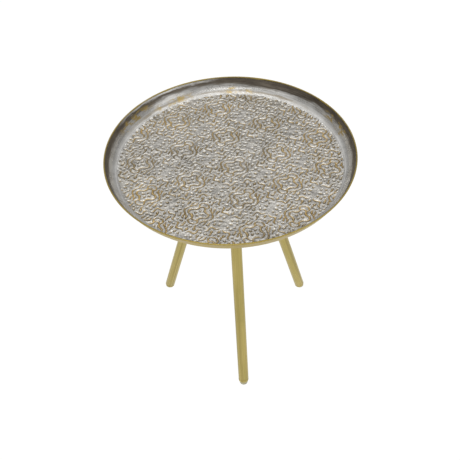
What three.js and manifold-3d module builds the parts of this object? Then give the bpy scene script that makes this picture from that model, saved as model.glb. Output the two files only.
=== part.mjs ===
// Round brass-finished tray table on three splayed screw-in tube legs.
// Millimetres, +Z up, origin on the floor under the centre of the tray.
import * as THREE from "three";
import { mergeVertices } from "three/addons/utils/BufferGeometryUtils.js";
import Module from "manifold-3d";

// ---- driving dimensions -------------------------------------------------
const TABLE_HEIGHT = 450; // floor to the top of the rim
const TRAY_RADIUS = 205; // outside of the rim
const TRAY_SHEET = 1.2; // sheet thickness
const TRAY_DEPTH = 26; // rim top to the upper face of the tray floor
const TRAY_BEND = 18; // inside radius between floor and wall
const WALL_FLARE = 27; // degrees the wall leans out from upright
const RIM_BEAD_R = 1.2; // rounded bead along the edge of the rim
const TRAY_SEGMENTS = 80;

const GAP = 0.3; // clearance kept between touching pieces

const PLATE_RADIUS = 75; // steel hub plate under the tray
const PLATE_THICK = 3;

const WELD_STUD_R = 3; // M6 studs welded under the tray
const WELD_STUD_LENGTH = 12;
const WELD_STUD_CIRCLE = 58;
const WELD_STUD_AZIMUTHS = [90, -30, 210];
const STUD_HOLE_R = 3.4;
const WASHER_R = 6.4;
const WASHER_THICK = 1.2;
const NUT_AF = 10; // M6 nut, across flats
const NUT_HEIGHT = 5;

// The legs are splayed a little unevenly: azimuth in degrees, leg 1 to the
// front, and the radius at which the leg axis meets the floor.
const LEGS = [
  { azimuth: -90, foot: 160 },
  { azimuth: 24.2, foot: 156 },
  { azimuth: 146, foot: 166.5 },
];
const LEG_TOP_RADIUS = 41; // where every leg axis meets LEG_TOP_Z
const LEG_TOP_Z = 427.5;
const SEAT = 406; // leg end under its boss, up the leg axis from the floor
const TUBE_R = 9.5; // 19 mm tube
const TUBE_WALL = 1.2;
const BOSS_R = 11; // threaded boss welded to the hub plate
const THREAD_R = 5; // M10
const THREAD_HOLE_R = 5.1;
const THREAD_ENGAGED = 18; // 12 turns of 1.5 mm pitch
const INSERT_LENGTH = 22; // steel plug in the top of the tube
const STUD_IN_INSERT = 17;
const CAP_SHOULDER = 10; // tube end above the floor, along the axis
const CAP_FACE = 3.6; // lower face of the cap, along the axis
const CAP_FACE_R = 8.1;
const CAP_ROUND = 3; // height of the rounded end
const CAP_PLUG_LENGTH = 15;
const PAD_R = 7.7;
const PAD_PIN_R = 2;
const PAD_HOLE_R = 2.1;
const PAD_PIN_TOP = 10;

// ---- derived ------------------------------------------------------------
const FLOOR_TOP = TABLE_HEIGHT - TRAY_DEPTH;
const FLOOR_UNDER = FLOOR_TOP - TRAY_SHEET;
const PLATE_TOP = FLOOR_UNDER - GAP;
const PLATE_UNDER = PLATE_TOP - PLATE_THICK;

const wasm = await Module();
wasm.setup();

// ---- helpers ------------------------------------------------------------
function toSolid(geometry) {
  const g = geometry.index ? geometry.toNonIndexed() : geometry.clone();
  for (const name of Object.keys(g.attributes)) if (name !== "position") g.deleteAttribute(name);
  const m = mergeVertices(g, 1e-4);
  return new wasm.Manifold(
    new wasm.Mesh({
      numProp: 3,
      vertProperties: new Float32Array(m.attributes.position.array),
      triVerts: new Uint32Array(m.index.array),
    }),
  );
}

function toGeometry(solid) {
  const m = solid.getMesh();
  const positions = new Float32Array(m.numVert * 3);
  for (let i = 0; i < m.numVert; i++)
    positions.set(m.vertProperties.subarray(i * m.numProp, i * m.numProp + 3), i * 3);
  const g = new THREE.BufferGeometry();
  g.setAttribute("position", new THREE.BufferAttribute(positions, 3));
  g.setIndex(new THREE.BufferAttribute(new Uint32Array(m.triVerts), 1));
  g.computeVertexNormals();
  return g;
}

// Turned solid about Z from [radius, height] points, listed from the lower end
// of the axis round the outside to the upper end, or as a closed loop.
function turned(points, segments) {
  const g = new THREE.LatheGeometry(
    points.map(([r, z]) => new THREE.Vector2(r, z)),
    segments,
  );
  return g.rotateX(Math.PI / 2);
}

function ring(inner, outer, low, high, segments) {
  return turned(
    [
      [inner, low],
      [outer, low],
      [outer, high],
      [inner, high],
      [inner, low],
    ],
    segments,
  );
}

// Solid cylinder about Z.
function rod(radius, low, high, segments) {
  return turned(
    [
      [0, low],
      [radius, low],
      [radius, high],
      [0, high],
    ],
    segments,
  );
}

function box(x0, x1, y0, y1, z0, z1) {
  return new THREE.BoxGeometry(x1 - x0, y1 - y0, z1 - z0).translate(
    (x0 + x1) / 2,
    (y0 + y1) / 2,
    (z0 + z1) / 2,
  );
}

// ---- materials ----------------------------------------------------------
const finishes = {
  patina: new THREE.MeshStandardMaterial({ color: 0xa9a399, roughness: 0.38, metalness: 0.85 }),
  brass: new THREE.MeshStandardMaterial({ color: 0xb39f60, roughness: 0.42, metalness: 0.75 }),
  steel: new THREE.MeshStandardMaterial({ color: 0x9a9a98, roughness: 0.35, metalness: 1 }),
  nylon: new THREE.MeshStandardMaterial({ color: 0xb3b094, roughness: 0.55, metalness: 0 }),
};

function mesh(name, geometry, finish) {
  const m = new THREE.Mesh(geometry, finishes[finish]);
  m.name = name;
  return m;
}

const table = new THREE.Group();

// ---- tray: one spun pan with a flat floor, a bend, a flared wall and a bead
{
  const flare = (WALL_FLARE * Math.PI) / 180;
  const up = [Math.sin(flare), Math.cos(flare)]; // up along the wall
  const out = [Math.cos(flare), -Math.sin(flare)]; // outward across the wall
  const half = TRAY_SHEET / 2;
  const bead = [TRAY_RADIUS - RIM_BEAD_R, TABLE_HEIGHT - RIM_BEAD_R];
  const drop = Math.sqrt(RIM_BEAD_R ** 2 - half ** 2);
  const straight =
    (bead[1] + half * Math.sin(flare) - FLOOR_TOP - TRAY_BEND * (1 - Math.sin(flare))) /
    Math.cos(flare);
  const flatR =
    bead[0] - (half + TRAY_BEND) * Math.cos(flare) - straight * Math.sin(flare);
  const bendZ = FLOOR_TOP + TRAY_BEND;
  const steps = 7;
  const bend = (radius) => {
    const points = [];
    for (let i = 0; i <= steps; i++) {
      const a = -Math.PI / 2 + (i / steps) * (Math.PI / 2 - flare);
      points.push([flatR + radius * Math.cos(a), bendZ + radius * Math.sin(a)]);
    }
    return points;
  };
  const start = Math.atan2(
    -drop * up[1] + half * out[1],
    -drop * up[0] + half * out[0],
  );
  const end = Math.atan2(-drop * up[1] - half * out[1], -drop * up[0] - half * out[0]);
  const sweep = end - start + 2 * Math.PI * (end < start ? 1 : 0);
  // the widest and the highest point of the bead are points of its outline
  const turns = [start, start / 2, 0, Math.PI / 4, Math.PI / 2];
  for (let i = 1; i <= 3; i++)
    turns.push(Math.PI / 2 + (i / 3) * (start + sweep - Math.PI / 2));
  const edge = turns.map((a) => [
    bead[0] + RIM_BEAD_R * Math.cos(a),
    bead[1] + RIM_BEAD_R * Math.sin(a),
  ]);
  const profile = [
    [0, FLOOR_UNDER],
    ...bend(TRAY_BEND + TRAY_SHEET),
    ...edge,
    ...bend(TRAY_BEND).reverse(),
    [0, FLOOR_TOP],
  ];
  table.add(mesh("tray", turned(profile, TRAY_SEGMENTS), "patina"));
}

// ---- hub plate under the tray -------------------------------------------
const studAngles = WELD_STUD_AZIMUTHS.map((a) => (a * Math.PI) / 180);
{
  const edge = 0.6;
  let plate = toSolid(
    turned(
      [
        [0, PLATE_UNDER],
        [PLATE_RADIUS - edge, PLATE_UNDER],
        [PLATE_RADIUS, PLATE_UNDER + edge],
        [PLATE_RADIUS, PLATE_TOP - edge],
        [PLATE_RADIUS - edge, PLATE_TOP],
        [0, PLATE_TOP],
      ],
      48,
    ),
  );
  for (const a of studAngles) {
    const hole = rod(STUD_HOLE_R, PLATE_UNDER - 2, PLATE_TOP + 2, 20).translate(
      WELD_STUD_CIRCLE * Math.cos(a),
      WELD_STUD_CIRCLE * Math.sin(a),
      0,
    );
    plate = plate.subtract(toSolid(hole));
  }
  table.add(mesh("hub_plate", toGeometry(plate), "brass"));
}

// ---- weld studs, washers and nuts that hold the plate to the tray --------
studAngles.forEach((a, i) => {
  const at = new THREE.Group();
  at.position.set(WELD_STUD_CIRCLE * Math.cos(a), WELD_STUD_CIRCLE * Math.sin(a), 0);
  const top = FLOOR_UNDER - GAP;
  const end = top - WELD_STUD_LENGTH;
  at.add(
    mesh(
      `tray_stud_${i + 1}`,
      turned(
        [
          [0, end],
          [WELD_STUD_R - 0.7, end],
          [WELD_STUD_R, end + 0.7],
          [WELD_STUD_R, top],
          [0, top],
        ],
        20,
      ),
      "steel",
    ),
  );
  const washerTop = PLATE_UNDER - GAP;
  at.add(
    mesh(
      `plate_washer_${i + 1}`,
      ring(WELD_STUD_R + GAP, WASHER_R, washerTop - WASHER_THICK, washerTop, 24),
      "steel",
    ),
  );
  const nutTop = washerTop - WASHER_THICK - GAP;
  const hex = rod(NUT_AF / Math.sqrt(3), nutTop - NUT_HEIGHT, nutTop, 6);
  const chamfer = turned(
    [
      [0, nutTop - NUT_HEIGHT - 0.01],
      [NUT_AF / 2, nutTop - NUT_HEIGHT - 0.01],
      [NUT_AF / 2 + 1.2, nutTop - NUT_HEIGHT + 0.7],
      [NUT_AF / 2 + 1.2, nutTop + 0.01],
      [0, nutTop + 0.01],
    ],
    24,
  );
  const nut = toSolid(hex)
    .intersect(toSolid(chamfer))
    .subtract(toSolid(rod(WELD_STUD_R + GAP, nutTop - NUT_HEIGHT - 2, nutTop + 2, 20)));
  at.add(mesh(`plate_nut_${i + 1}`, toGeometry(nut), "steel"));
  table.add(at);
});

// ---- legs ---------------------------------------------------------------
LEGS.forEach(({ azimuth, foot }, i) => {
  const n = i + 1;
  const tilt = Math.atan2(foot - LEG_TOP_RADIUS, LEG_TOP_Z);
  const axisAtPlate = PLATE_UNDER / Math.cos(tilt); // distance up the leg axis
  const turnedLeg = new THREE.Group(); // puts the leg at its azimuth
  turnedLeg.rotation.z = (azimuth * Math.PI) / 180;
  const axis = new THREE.Group(); // local Z runs up the leg axis from the floor
  axis.position.set(foot, 0, 0);
  axis.rotation.y = -tilt;
  turnedLeg.add(axis);
  table.add(turnedLeg);

  // World plane z = h, expressed in the leg's own frame as a big block above it.
  const above = (h) => {
    const block = box(-220, 60, -60, 60, h, h + 120);
    const inverse = new THREE.Matrix4().makeRotationY(tilt);
    return toSolid(block.applyMatrix4(inverse));
  };
  const below = (h) => {
    const block = box(-220, 60, -60, 60, h - 120, h);
    const inverse = new THREE.Matrix4().makeRotationY(tilt);
    return toSolid(block.applyMatrix4(inverse));
  };

  // boss welded under the plate, with a through thread for the leg stud
  const boss = toSolid(
    turned(
      [
        [0, SEAT],
        [BOSS_R - 0.8, SEAT],
        [BOSS_R, SEAT + 0.8],
        [BOSS_R, axisAtPlate + 14],
        [0, axisAtPlate + 14],
      ],
      28,
    ),
  )
    .subtract(toSolid(rod(THREAD_HOLE_R, SEAT - 5, axisAtPlate + 20, 24)))
    .subtract(above(PLATE_UNDER - GAP));
  axis.add(mesh(`leg_boss_${n}`, toGeometry(boss), "brass"));

  const tubeTop = SEAT - GAP;
  axis.add(
    mesh(
      `leg_tube_${n}`,
      ring(TUBE_R - TUBE_WALL, TUBE_R, CAP_SHOULDER + GAP, tubeTop, 36),
      "brass",
    ),
  );

  // steel insert pressed into the top of the tube, blind threaded hole upwards
  const insertTop = tubeTop - 0.4;
  const holeFloor = insertTop - STUD_IN_INSERT - GAP;
  const insertR = TUBE_R - TUBE_WALL - GAP;
  axis.add(
    mesh(
      `leg_insert_${n}`,
      turned(
        [
          [0, insertTop - INSERT_LENGTH],
          [insertR - 0.8, insertTop - INSERT_LENGTH],
          [insertR, insertTop - INSERT_LENGTH + 0.8],
          [insertR, insertTop],
          [THREAD_HOLE_R, insertTop],
          [THREAD_HOLE_R, holeFloor],
          [0, holeFloor],
        ],
        24,
      ),
      "steel",
    ),
  );

  // M10 stud, fixed in the insert, screwed into the boss
  const studEnd = SEAT + THREAD_ENGAGED;
  axis.add(
    mesh(
      `leg_stud_${n}`,
      turned(
        [
          [0, insertTop - STUD_IN_INSERT],
          [THREAD_R, insertTop - STUD_IN_INSERT],
          [THREAD_R, studEnd - 1.2],
          [THREAD_R - 1.2, studEnd],
          [0, studEnd],
        ],
        24,
      ),
      "steel",
    ),
  );

  // domed end cap plugged into the lower end of the tube
  const capProfile = [
    [PAD_HOLE_R, CAP_FACE],
    [CAP_FACE_R, CAP_FACE],
  ];
  const domeSteps = 5;
  for (let k = 1; k <= domeSteps; k++) {
    const a = -Math.PI / 2 + (k / domeSteps) * (Math.PI / 2);
    capProfile.push([
      CAP_FACE_R + (TUBE_R - CAP_FACE_R) * Math.cos(a),
      CAP_FACE + CAP_ROUND + CAP_ROUND * Math.sin(a),
    ]);
  }
  capProfile.push(
    [TUBE_R, CAP_SHOULDER],
    [insertR, CAP_SHOULDER],
    [insertR, CAP_SHOULDER + CAP_PLUG_LENGTH - 1],
    [insertR - 1, CAP_SHOULDER + CAP_PLUG_LENGTH],
    [0, CAP_SHOULDER + CAP_PLUG_LENGTH],
    [0, PAD_PIN_TOP + GAP],
    [PAD_HOLE_R, PAD_PIN_TOP + GAP],
    [PAD_HOLE_R, CAP_FACE],
  );
  axis.add(mesh(`foot_cap_${n}`, turned(capProfile, 28), "brass"));

  // swivelling floor pad: a pin in the cap and a sole cut level with the floor
  const pad = toSolid(
    turned(
      [
        [0, -8],
        [PAD_R, -8],
        [PAD_R, CAP_FACE - GAP],
        [PAD_PIN_R, CAP_FACE - GAP],
        [PAD_PIN_R, PAD_PIN_TOP - 0.5],
        [PAD_PIN_R - 0.5, PAD_PIN_TOP],
        [0, PAD_PIN_TOP],
      ],
      24,
    ),
  ).subtract(below(0));
  axis.add(mesh(`foot_pad_${n}`, toGeometry(pad), "nylon"));
});

export default table;
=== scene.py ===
import math

import bpy
import numpy as np
from mathutils import Matrix, Vector


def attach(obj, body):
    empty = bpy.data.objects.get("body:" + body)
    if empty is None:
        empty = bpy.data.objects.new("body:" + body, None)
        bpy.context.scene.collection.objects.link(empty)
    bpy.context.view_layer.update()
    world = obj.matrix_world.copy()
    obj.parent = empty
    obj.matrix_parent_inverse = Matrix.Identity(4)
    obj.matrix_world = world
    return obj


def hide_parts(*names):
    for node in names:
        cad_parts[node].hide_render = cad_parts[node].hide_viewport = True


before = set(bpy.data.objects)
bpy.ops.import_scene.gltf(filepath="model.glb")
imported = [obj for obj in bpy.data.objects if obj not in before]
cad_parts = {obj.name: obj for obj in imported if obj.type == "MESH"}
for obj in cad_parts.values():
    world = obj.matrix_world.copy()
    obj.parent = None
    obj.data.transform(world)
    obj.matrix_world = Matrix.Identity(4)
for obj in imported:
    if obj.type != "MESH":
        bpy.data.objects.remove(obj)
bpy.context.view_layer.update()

MM = 0.001

# ---- dimensions of the frame, in millimetres --------------------------------
HEIGHT = 450.0
RADIUS = 205.0
SHEET = 1.2
DEPTH = 26.0
BEND = 18.0
FLARE = math.radians(27)
BEAD_R = 1.2
FLOOR_TOP = HEIGHT - DEPTH
FLOOR_UNDER = FLOOR_TOP - SHEET
PLATE_TOP = FLOOR_UNDER - 0.3
PLATE_UNDER = PLATE_TOP - 3.0
PLATE_R = 75.0
STUD_AZ = [90, -30, 210]
STUD_CIRCLE = 58.0
LEGS = [(-90.0, 160.0), (24.2, 156.0), (146.0, 166.5)]
LEG_TOP_RADIUS = 41.0
LEG_TOP_Z = 427.5
SEAT = 406.0
TUBE_R = 9.5
TUBE_WALL = 1.2
BOSS_R = 11.0


# ---- mesh helpers ------------------------------------------------------------
def new_mesh(name, verts, faces, mats, mat_index=None, sharp=35, attrs=None, matrix=None):
    """An object from millimetre vertices (numpy) and faces (lists or an n x 3 array)."""
    me = bpy.data.meshes.new(name)
    v = np.asarray(verts, float) * MM
    if isinstance(faces, np.ndarray):
        a, b, c = v[faces[:, 0]], v[faces[:, 1]], v[faces[:, 2]]
        if np.einsum("ij,ij->i", a, np.cross(b, c)).sum() < 0:
            faces = faces[:, ::-1]
    me.from_pydata(v.tolist(), [], np.asarray(faces).tolist())
    me.validate()
    for m in mats:
        me.materials.append(m)
    if mat_index is not None:
        me.polygons.foreach_set("material_index", np.asarray(mat_index, np.int32))
    for key, values in (attrs or {}).items():
        at = me.attributes.new(key, "FLOAT", "POINT")
        at.data.foreach_set("value", np.asarray(values, np.float32))
    me.polygons.foreach_set("use_smooth", np.ones(len(me.polygons), bool))
    if sharp is not None:
        me.set_sharp_from_angle(angle=math.radians(sharp))
    me.update()
    ob = bpy.data.objects.new(name, me)
    bpy.context.scene.collection.objects.link(ob)
    if matrix is not None:
        ob.matrix_world = matrix
    return ob


def done(ob, body, node):
    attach(ob, body)
    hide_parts(node)
    return ob


def ring_angles(n, phase=0.0):
    return (np.arange(n) + phase) / n * 2 * math.pi


def zipper(a0, na, pa, b0, nb, pb):
    """Triangles between ring a (na vertices from index a0) and ring b outside it."""
    if na == 1:
        j = np.arange(nb)
        return np.stack([np.full(nb, a0), b0 + j, b0 + (j + 1) % nb], 1)
    if nb == 1:
        j = np.arange(na)
        return np.stack([a0 + (j + 1) % na, a0 + j, np.full(na, b0)], 1)
    if na == nb and pa == pb:
        j = np.arange(na)
        k = (j + 1) % na
        return np.concatenate(
            [np.stack([a0 + j, b0 + j, b0 + k], 1), np.stack([a0 + j, b0 + k, a0 + k], 1)]
        )
    out = []
    i = j = 0
    while i < na or j < nb:
        next_a = (i + 1 + pa) / na
        next_b = (j + 1 + pb) / nb
        if j < nb and (i >= na or next_b <= next_a):
            out.append((a0 + i % na, b0 + j % nb, b0 + (j + 1) % nb))
            j += 1
        else:
            out.append((a0 + i % na, b0 + j % nb, a0 + (i + 1) % na))
            i += 1
    return np.array(out)


def skin(rings):
    """Closed skin over rings of (x, y, z, phase) arrays; a ring of one point closes an end."""
    verts, tris, start = [], [], []
    count = 0
    for x, y, z, phase in rings:
        start.append(count)
        verts.append(np.stack([x, y, z], 1))
        count += len(x)
    for k in range(len(rings) - 1):
        na, nb = len(rings[k][0]), len(rings[k + 1][0])
        tris.append(zipper(start[k], na, rings[k][3], start[k + 1], nb, rings[k + 1][3]))
    return np.concatenate(verts), tris, start


def turned(profile, segs, wave=None):
    """Turned solid from (radius, height) points; open profiles start and end on the axis, and
    others close on themselves. wave(k, angle) may shift ring k by (dr, dz)."""
    rings = []
    for k, (r, z) in enumerate(profile):
        if r < 1e-9:
            rings.append((np.zeros(1), np.zeros(1), np.full(1, float(z)), 0.0))
            continue
        a = ring_angles(segs)
        rr, zz = np.full(segs, float(r)), np.full(segs, float(z))
        if wave is not None:
            dr, dz = wave(k, a)
            rr, zz = rr + dr, zz + dz
        rings.append((rr * np.cos(a), rr * np.sin(a), zz, 0.0))
    verts, tris, start = skin(rings)
    if profile[0][0] > 1e-9 and profile[-1][0] > 1e-9:
        tris.append(zipper(start[-1], segs, 0.0, start[0], segs, 0.0))
    return verts, np.concatenate(tris)


def arc(cx, cy, r, a0, a1, n):
    return [
        (cx + r * math.cos(math.radians(a0 + (a1 - a0) * i / n)), cy + r * math.sin(math.radians(a0 + (a1 - a0) * i / n)))
        for i in range(n + 1)
    ]


# ---- material helpers ----------------------------------------------------------
class Graph:
    def __init__(self, name):
        self.mat = bpy.data.materials.new(name)
        self.mat.use_nodes = True
        self.nt = self.mat.node_tree
        self.shader = self.nt.nodes["Principled BSDF"]
        self.coord = self.add("ShaderNodeTexCoord").outputs["Object"]

    def add(self, kind, **props):
        node = self.nt.nodes.new(kind)
        for k, v in props.items():
            setattr(node, k, v)
        return node

    def link(self, a, b):
        self.nt.links.new(a, b)

    def put(self, socket, value):
        if isinstance(value, bpy.types.NodeSocket):
            self.link(value, socket)
        else:
            socket.default_value = value

    def set(self, **values):
        for k, v in values.items():
            self.put(self.shader.inputs[k.replace("_", " ")], v)

    def math(self, op, a, b=0.0, c=None, clamp=False):
        n = self.add("ShaderNodeMath", operation=op, use_clamp=clamp)
        self.put(n.inputs[0], a)
        self.put(n.inputs[1], b)
        if c is not None:
            self.put(n.inputs[2], c)
        return n.outputs[0]

    def vmath(self, op, a, b=(0, 0, 0), scale=None):
        n = self.add("ShaderNodeVectorMath", operation=op)
        self.put(n.inputs[0], a)
        if op != "NORMALIZE" and op != "SCALE":
            self.put(n.inputs[1], b)
        if scale is not None:
            self.put(n.inputs["Scale"], scale)
        return n.outputs["Value"] if op in ("LENGTH", "DOT_PRODUCT", "DISTANCE") else n.outputs["Vector"]

    def noise(self, scale, detail=3.0, rough=0.5, vector=None, distortion=0.0):
        n = self.add("ShaderNodeTexNoise")
        n.inputs["Scale"].default_value = scale
        n.inputs["Detail"].default_value = detail
        n.inputs["Roughness"].default_value = rough
        n.inputs["Distortion"].default_value = distortion
        self.link(self.coord if vector is None else vector, n.inputs["Vector"])
        return n.outputs["Fac"]

    def stretch(self, scale, vector=None):
        n = self.add("ShaderNodeMapping")
        n.inputs["Scale"].default_value = scale
        self.link(self.coord if vector is None else vector, n.inputs["Vector"])
        return n.outputs["Vector"]

    def steps(self, fac, low, high, a=0.0, b=1.0, smooth=True):
        n = self.add("ShaderNodeMapRange", interpolation_type="SMOOTHSTEP" if smooth else "LINEAR")
        self.put(n.inputs["Value"], fac)
        for key, v in (("From Min", low), ("From Max", high), ("To Min", a), ("To Max", b)):
            self.put(n.inputs[key], v)
        return n.outputs["Result"]

    def ramp(self, fac, stops):
        n = self.add("ShaderNodeValToRGB")
        e = n.color_ramp.elements
        while len(e) < len(stops):
            e.new(0.5)
        for el, (pos, col) in zip(e, stops):
            el.position = pos
            el.color = (*col, 1)
        self.link(fac, n.inputs[0])
        return n.outputs[0]

    def mix(self, fac, a, b, kind="MIX"):
        n = self.add("ShaderNodeMix", data_type="RGBA", blend_type=kind)
        self.put(n.inputs[0], fac)
        for sock, v in ((n.inputs[6], a), (n.inputs[7], b)):
            self.put(sock, (*v, 1) if isinstance(v, tuple) else v)
        return n.outputs[2]

    def attribute(self, name):
        return self.add("ShaderNodeAttribute", attribute_name=name).outputs["Fac"]

    def xyz(self, vector=None):
        n = self.add("ShaderNodeSeparateXYZ")
        self.link(self.coord if vector is None else vector, n.inputs[0])
        return n.outputs

    def bump(self, height, strength, distance, normal=None):
        n = self.add("ShaderNodeBump")
        n.inputs["Strength"].default_value = strength
        n.inputs["Distance"].default_value = distance
        self.link(height, n.inputs["Height"])
        if normal is not None:
            self.link(normal, n.inputs["Normal"])
        return n.outputs["Normal"]


def srgb(r, g, b):
    def f(c):
        c /= 255
        return c / 12.92 if c <= 0.04045 else ((c + 0.055) / 1.055) ** 2.4

    return (f(r), f(g), f(b))


# ---- materials -------------------------------------------------------------------
def make_relief():
    """Embossed tray floor: silvered lands with worn edges, umber in the pits, brass in the lines.
    A painted shade darkens the front slope of each recess, and a painted highlight lightens its back slope."""
    g = Graph("tray_relief")
    h = g.attribute("recess")
    line = g.attribute("line")
    shading_slope = g.attribute("shading_slope")
    flat = g.vmath("MULTIPLY", g.coord, (1, 1, 0))
    radius = g.vmath("LENGTH", flat)
    blotch = g.noise(26, 4, 0.6)
    grain = g.noise(620, 3, 0.6)
    speck = g.noise(1500, 2, 0.6)
    cloud = g.noise(9, 2, 0.5)
    deep = g.math("ADD", h, g.steps(grain, 0.3, 0.7, -0.08, 0.08, False))
    fleck = g.noise(600, 2, 0.6)
    mottle = g.math("ADD", g.steps(blotch, 0.3, 0.7, 0.0, 0.28, False), g.steps(fleck, 0.36, 0.64, 0.0, 0.72, False))
    land = g.mix(mottle, LAND_DARK, LAND_LIGHT)
    land = g.mix(g.steps(cloud, 0.45, 0.7, 0.0, 0.3), land, LAND_WARM)
    ring = g.steps(radius, 0.182, 0.187)
    land = g.mix(ring, land, g.mix(g.steps(blotch, 0.3, 0.7), RING_DARK, RING_LIGHT))
    # edges of the lands rubbed bright
    edge = g.math("MULTIPLY", g.steps(deep, 0.02, 0.12), g.steps(deep, 0.36, 0.2))
    col = g.mix(g.math("MULTIPLY", edge, 0.7), land, WORN_METAL_AND_HIGHLIGHT)
    umber = g.mix(g.steps(grain, 0.35, 0.65), UMBER_A, UMBER_B)
    gold = g.mix(g.steps(g.noise(170, 3, 0.6), 0.35, 0.65), GOLD_A, GOLD_B)
    # the wash of brass is thin in the middle of the tray and full towards its sides
    full = g.math("ADD", g.steps(g.noise(13, 3, 0.55), 0.38, 0.6, 0.15, 0.7), g.steps(radius, 0.05, 0.17, 0.0, 0.3), clamp=True)
    # the stamping is crisp in places and nearly rubbed flat in others
    crisp = g.math("MULTIPLY", g.steps(g.noise(17, 3, 0.55), 0.36, 0.6, 0.7, 1.0), g.steps(g.noise(75, 2, 0.5), 0.34, 0.6, 0.45, 1.0))
    col = g.mix(g.math("MULTIPLY", g.steps(deep, 0.22, 0.5), crisp), col, umber)
    gild = g.math("MULTIPLY", g.steps(deep, 0.3, 0.55), g.math("MULTIPLY", full, g.steps(line, 0.1, 0.5, 0.55, 1.0)))
    col = g.mix(gild, col, gold)
    # painted shade: dark colour on the front slope of each recess, set by the front-to-back slope of the recess
    col = g.mix(g.math("MULTIPLY", g.steps(shading_slope, 0.15, 0.42, 0.0, PAINTED_SHADE_AMOUNT), crisp), col, PAINTED_SHADE_COLOUR)
    # painted highlight: bright colour on the back slope of each recess
    col = g.mix(g.steps(shading_slope, -0.18, -0.45, 0.0, PAINTED_HIGHLIGHT_AMOUNT), col, WORN_METAL_AND_HIGHLIGHT)
    # worn spots of brass on the lands
    worn = g.math(
        "MULTIPLY",
        g.steps(g.noise(75, 4, 0.65), 0.6, 0.68),
        g.steps(g.noise(430, 2, 0.5), 0.44, 0.6),
    )
    col = g.mix(g.math("MULTIPLY", worn, 0.4), col, GOLD_B)
    g.set(Base_Color=col, Metallic=0.75)
    rough = g.math("ADD", g.steps(blotch, 0.3, 0.7, 0.27, 0.36, False), g.math("MULTIPLY", deep, 0.06))
    g.set(Roughness=rough)
    n = g.bump(g.math("MULTIPLY", g.math("SUBTRACT", 1.0, h), crisp), 1.0, RELIEF_BUMP)
    n = g.bump(g.noise(430, 2, 0.6), 0.5, 0.0008, n)
    n = g.bump(grain, 0.35, 0.00035, n)
    g.set(Normal=g.bump(speck, 0.25, 0.0002, n))
    return g.mat


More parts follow.
